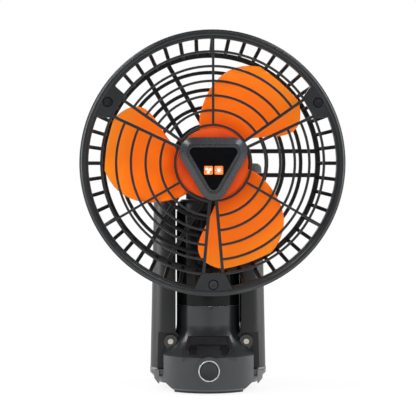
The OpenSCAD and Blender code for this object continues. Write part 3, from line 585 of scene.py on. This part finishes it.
def orange_plastic():
    """Orange plastic with faint flow marks; painted shade makes it deep at the hub, a painted
    highlight paler at the tips.
    """
    finish = Finish("orange_moulding")
    from_centre = finish.node("ShaderNodeVectorMath", {"operation": "SUBTRACT"}, {
        0: finish.place, 1: (0, 0, FAN_Z)})
    off_axis = finish.node("ShaderNodeVectorMath", {"operation": "CROSS_PRODUCT"}, {
        0: from_centre, 1: (sin(HEAD_YAW), -cos(HEAD_YAW), 0)})
    radius = finish.node("ShaderNodeVectorMath", {"operation": "LENGTH"}, {0: off_axis},
                         out="Value")
    flow = finish.noise(30, detail=3)
    pores = finish.noise(1300, rough=0.6)
    # Painted shade: deep red near the hub, where the hub cover shades the blades. Painted
    # highlight: paler orange towards the blade tips.
    hub_shade_fade = finish.between(radius, 0.019, 0.04)
    tip_highlight = finish.between(radius, 0.06, 0.084)
    body = finish.mix(tip_highlight, finish.mix(hub_shade_fade, tone(212, 42, 3), tone(254, 113, 8)),
                      tone(255, 142, 22))
    return finish.done(finish.surface(
        Base_Color=finish.mix(finish.between(flow, 0.4, 0.62) * 0.25, body, tone(250, 112, 8)),
        Roughness=0.42 + (flow - 0.5) * 0.12 + (pores - 0.5) * 0.08,
        Specular_IOR_Level=0.12, Normal=finish.bump(pores, 0.00003)))


bm = bmesh.new()
add(bm, blade, *THIRDS)
cup_back = IMPELLER_FRONT - IMPELLER_DEPTH
add(bm, lathe([
    (BORE_R, SEAT_Z), (BORE_R, IMPELLER_FRONT), (CUP_R, IMPELLER_FRONT), (CUP_R, cup_back),
    (CUP_R - CUP_WALL, cup_back), (CUP_R - CUP_WALL, CUP_FLOOR), (SEAT_R, CUP_FLOOR),
    (SEAT_R, SEAT_Z)], 120, 0.6, 3))
settle(bm, "fan_rotor", orange_plastic(), "rotor", "orange_blade", "impeller", place=HEAD)

# ---------------------------------------------------------------------------
# Front grille: a charcoal flange with a stepped rim, six guard rings broken at
# three pairs of spokes, three single spokes, and screw plates at the pairs.
# ---------------------------------------------------------------------------
FLANGE_IN, FLANGE_OUT, FLANGE_BACK, FLANGE_STEP = 93.2, 100, 56.1, 61.6
BEAD_IN, BEAD_OUT = 94.5, 98.8
GUARD_Z, GUARD_T, GUARD_W, GUARD_OUT, GUARD_GAP = 59.4, 2.6, 1.9, 83.6, 11
PAIR_HALF_ANGLE, PAIR_FROM, SPOKE_HALF, SINGLE_FROM, SINGLE_HALF = 5, 23, 1.15, 28.6, 0.95
PLATE_Z, PLATE_T, PLATE_IN, PLATE_OUT, PLATE_NARROW, PLATE_WIDE = 63.4, 3.4, 82.6, 95.3, 8.7, 15
HEAD_R, HEAD_SUNK, BORE_SHARE = 3.8, 1.2, 0.42
HUB_SEAT_IN, HUB_SEAT_ROUND = 18.7, 10.1


def arc_bar(radius, low, high, start, sweep):
    """A guard ring's arc from a start angle over a sweep, with a rounded section."""
    arc = bmesh.new()
    inner, outer = radius - GUARD_W / 2, radius + GUARD_W / 2
    section = arc.faces.new([arc.verts.new((r, 0, z)) for r, z in (
        (inner, low), (outer, low), (outer, high), (inner, high))])
    bmesh.ops.bevel(arc, geom=section.verts[:], offset=0.6, offset_type="OFFSET", segments=2,
                    profile=0.5, affect="VERTICES", material=-1)
    bmesh.ops.rotate(arc, cent=(0, 0, 0), matrix=Matrix.Rotation(radians(start), 3, "Z"),
                     verts=arc.verts)
    bmesh.ops.spin(arc, geom=arc.verts[:] + arc.edges[:] + arc.faces[:], cent=(0, 0, 0),
                   axis=(0, 0, 1), dvec=(0, 0, 0), angle=radians(sweep),
                   steps=max(12, round(radius * sweep / 220)), use_merge=False)
    bmesh.ops.recalc_face_normals(arc, faces=arc.faces)
    return arc


bm = bmesh.new()
add(bm, lathe([
    (FLANGE_IN, FLANGE_BACK + 0.4), (FLANGE_IN, FLANGE_STEP), (BEAD_IN, FLANGE_STEP),
    (BEAD_IN + 0.7, CAGE_FRONT - 0.7), (BEAD_IN + 1.7, CAGE_FRONT), (BEAD_OUT - 1, CAGE_FRONT),
    (BEAD_OUT - 0.2, CAGE_FRONT - 0.8), (BEAD_OUT, CAGE_FRONT - 2),
    (FLANGE_OUT, FLANGE_STEP - 0.2), (FLANGE_OUT, FLANGE_BACK),
    (BEAD_IN + 0.2, FLANGE_BACK)], 192, 0.35))
for step in range(6):
    add(bm, arc_bar(GUARD_OUT - GUARD_GAP * step, GUARD_Z, GUARD_Z + GUARD_T,
                    30 + PAIR_HALF_ANGLE, 120 - 2 * PAIR_HALF_ANGLE), *THIRDS)
for half in (-PAIR_HALF_ANGLE, PAIR_HALF_ANGLE):
    add(bm, bar((PAIR_FROM, -SPOKE_HALF, GUARD_Z - 0.1),
                (GUARD_OUT + 3, SPOKE_HALF, GUARD_Z + GUARD_T + 0.2)),
        *(turn + half for turn in PLATE_TURNS))
add(bm, bar((SINGLE_FROM, -SINGLE_HALF, GUARD_Z + 0.1),
            (BEAD_IN, SINGLE_HALF, GUARD_Z + GUARD_T - 0.2)), 90, 210, 330)


def screw_plate():
    """A trapezoid plate with a round recess for the screw's head, and a bore below it."""
    plate = bmesh.new()
    hole = bmesh.ops.create_circle(plate, segments=32, radius=HEAD_R, cap_ends=False)["verts"]
    bmesh.ops.translate(plate, vec=(SCREW_R, 0, PLATE_Z), verts=hole)
    rim = [plate.verts.new((x, y, PLATE_Z)) for x, y in (
        (PLATE_IN, -PLATE_NARROW), (PLATE_IN, PLATE_NARROW),
        (PLATE_OUT, PLATE_WIDE), (PLATE_OUT, -PLATE_WIDE))]
    sides = [plate.edges.new((rim[i - 1], rim[i])) for i in (1, 2, 3, 0)]
    bmesh.ops.subdivide_edges(plate, edges=sides, cuts=7)
    bmesh.ops.bridge_loops(plate, edges=plate.edges[:])
    hole_edges = [e for e in plate.edges if len(e.link_faces) == 1 and e.verts[0] in hole]
    sunk = bmesh.ops.extrude_edge_only(plate, edges=hole_edges)["geom"]
    recess_rim = vertices_of(sunk)
    bmesh.ops.translate(plate, vec=(0, 0, -HEAD_SUNK), verts=recess_rim)
    bore = bmesh.ops.extrude_edge_only(
        plate, edges=[e for e in sunk if isinstance(e, bmesh.types.BMEdge)
                      and all(v in recess_rim for v in e.verts)])["geom"]
    bore_rim = vertices_of(bore)
    bmesh.ops.scale(plate, vec=(BORE_SHARE, BORE_SHARE, 1), verts=bore_rim,
                    space=Matrix.Translation((-SCREW_R, 0, 0)))
    outer = [e for e in plate.edges if len(e.link_faces) == 1 and e.verts[0] not in bore_rim]
    skirt = bmesh.ops.extrude_edge_only(plate, edges=outer)["geom"]
    bmesh.ops.translate(plate, vec=(0, 0, -PLATE_T), verts=vertices_of(skirt))
    bmesh.ops.translate(plate, vec=(0, 0, -0.05), verts=bore_rim)
    bmesh.ops.holes_fill(plate, edges=plate.edges, sides=0)
    bmesh.ops.recalc_face_normals(plate, faces=plate.faces)
    round_edges(plate, 0.75, over=40)
    return plate


def hub_outline(in_r, corner_r):
    """A triangle with round corners, one of them pointing down."""
    reach, steps = 2 * (in_r - corner_r), 14
    bends = [-60 + 120 * i / steps for i in range(steps + 1)]
    return [(reach * cos(radians(corner)) + corner_r * cos(radians(corner + bend)),
             reach * sin(radians(corner)) + corner_r * sin(radians(corner + bend)))
            for corner in PLATE_TURNS for bend in bends]


add(bm, screw_plate(), *PLATE_TURNS)
add(bm, prism(hub_outline(HUB_SEAT_IN, HUB_SEAT_ROUND), FLANGE_STEP - 0.1, PLATE_Z + 0.1, 0.2))
settle(bm, "front_guard", moulded("front_nylon", tone(31, 33, 35), 0.34, 0.00004), "head",
       "charcoal_shell", "front_grille", place=HEAD)
soften("grille_screws", "guard_screws", metal("black_screw", tone(92, 92, 96), 0.34, worn=0.3),
       "head", "black_screw", 0.12)

# ---------------------------------------------------------------------------
# Hub cover: a bevelled charcoal triangle clipped to the guard, with a recessed
# gloss panel. Two small orange tiles on it carry plain white signs.
# ---------------------------------------------------------------------------
HUB_IN, HUB_FACE = 19.3, 67.5
PANEL_IN, PANEL_ROUND, PANEL_BACK, PANEL_FRONT = 11.7, 3.3, 65.52, 66.5


def loft(outlines):
    """A closed skin bridged from outline to outline, and from the last back to the first."""
    skin = bmesh.new()
    loops = []
    for outline in outlines:
        points = [skin.verts.new(p) for p in outline]
        loops.append([skin.edges.new((points[i - 1], v)) for i, v in enumerate(points)])
    for one, other in zip(loops, loops[1:] + loops[:1]):
        bmesh.ops.bridge_loops(skin, edges=one + other)
    bmesh.ops.recalc_face_normals(skin, faces=skin.faces)
    return skin


# Each level's in-radius, corner radius and height, from the back up over the outer
# bevel and the crest, and down the inner slope into the panel's pocket
hub_levels = [
    (HUB_IN - 0.1, 10.6, 63.55), (HUB_IN, 10.7, 64.1), (HUB_IN - 0.5, 10.2, 64.7),
    (HUB_IN - 4.0, 7.2, 67.1), (HUB_IN - 4.3, 6.9, 67.2), (HUB_IN - 5.2, 6.1, 67.2),
    (HUB_IN - 5.4, 5.9, 66.8), (HUB_IN - 5.9, 5.5, 66.8), (HUB_IN - 6.1, 5.3, 67.4),
    (HUB_IN - 6.6, 4.6, HUB_FACE), (PANEL_IN + 0.1, 3.5, 66.5), (PANEL_IN + 0.1, 3.5, 65.5),
    (PANEL_IN - 1.5, 2.2, 65.45), (PANEL_IN - 1.5, 2.2, 63.6)]
hub_skin = loft([[(x, y, height) for x, y in hub_outline(in_r, corner_r)]
                 for in_r, corner_r, height in hub_levels])
settle(hub_skin, "hub_cover", moulded("hub_nylon", tone(52, 54, 57), 0.28, 0.00004), "head",
       "charcoal_shell", "hub_frame", place=HEAD, sharp=24)


def smoked_gloss():
    """Near-black polished plastic with a trace of haze."""
    finish = Finish("gloss_panel")
    haze = finish.noise(220, detail=3)
    return finish.done(finish.surface(
        Base_Color=finish.mix(haze, tone(5, 5, 7), tone(12, 12, 14)),
        Roughness=0.12 + haze * 0.08, Specular_IOR_Level=0.2,
        Normal=finish.bump(haze, 0.00001)))


settle(prism(hub_outline(PANEL_IN, PANEL_ROUND), PANEL_BACK, PANEL_FRONT, 0.2), "hub_gloss_panel",
       smoked_gloss(), "head", "gloss_panel", "hub_panel", place=HEAD)

TILE_HALF, TILE_ROUND, TILE_T, TILE_X, TILE_Y = 3.25, 0.9, 0.3, 3.85, -5.3
TILE_Z = PANEL_FRONT + 0.02
SIGN_LOW, SIGN_HIGH = TILE_Z + 0.25, TILE_Z + 0.4


def on_tile(part, side, turn=0):
    """Turns a flat part and moves it to the middle of the left (-1) or right (1) tile."""
    bmesh.ops.rotate(part, cent=(0, 0, 0), matrix=Matrix.Rotation(radians(turn), 3, "Z"),
                     verts=part.verts)
    bmesh.ops.translate(part, vec=(side * TILE_X, TILE_Y, 0), verts=part.verts)
    return part


inner = TILE_HALF - TILE_ROUND
bends = [radians(90 * quarter + 3 + 21 * i) for quarter in range(4) for i in range(5)]
tile_outline = [(inner * copysign(1, cos(bend)) + TILE_ROUND * cos(bend),
                 inner * copysign(1, sin(bend)) + TILE_ROUND * sin(bend)) for bend in bends]
bm = bmesh.new()
for side in (-1, 1):
    add(bm, on_tile(prism(tile_outline, TILE_Z, TILE_Z + TILE_T, 0.08, 1), side))
settle(bm, "sign_tiles", moulded("tile_orange", tone(250, 120, 4), 0.6, 0.00002), "head",
       "orange_tile", "hub_tiles", place=HEAD)

paddle = [(0.1, -0.3), (1.1, -1.2), (2.2, -1.1), (2.7, 0.1), (1.9, 0.9), (0.7, 0.55)]
sun_ray = [(1.6, -0.2), (2.5, -0.2), (2.5, 0.2), (1.6, 0.2)]
sun_disc = [(0, SIGN_LOW), (1.3, SIGN_LOW), (1.3, SIGN_HIGH), (0, SIGN_HIGH)]
signs = bmesh.new()
for turn in THIRDS:
    add(signs, on_tile(prism(paddle, SIGN_LOW, SIGN_HIGH, 0.04, 1), -1, turn + 30))
add(signs, on_tile(lathe(sun_disc, 32), 1))
for turn in range(0, 360, 45):
    add(signs, on_tile(prism(sun_ray, SIGN_LOW, SIGN_HIGH, 0.04, 1), 1, turn))
settle(signs, "white_signs", moulded("sign_white", tone(236, 236, 232), 0.4, 0.00001), "head",
       "orange_tile", place=HEAD)
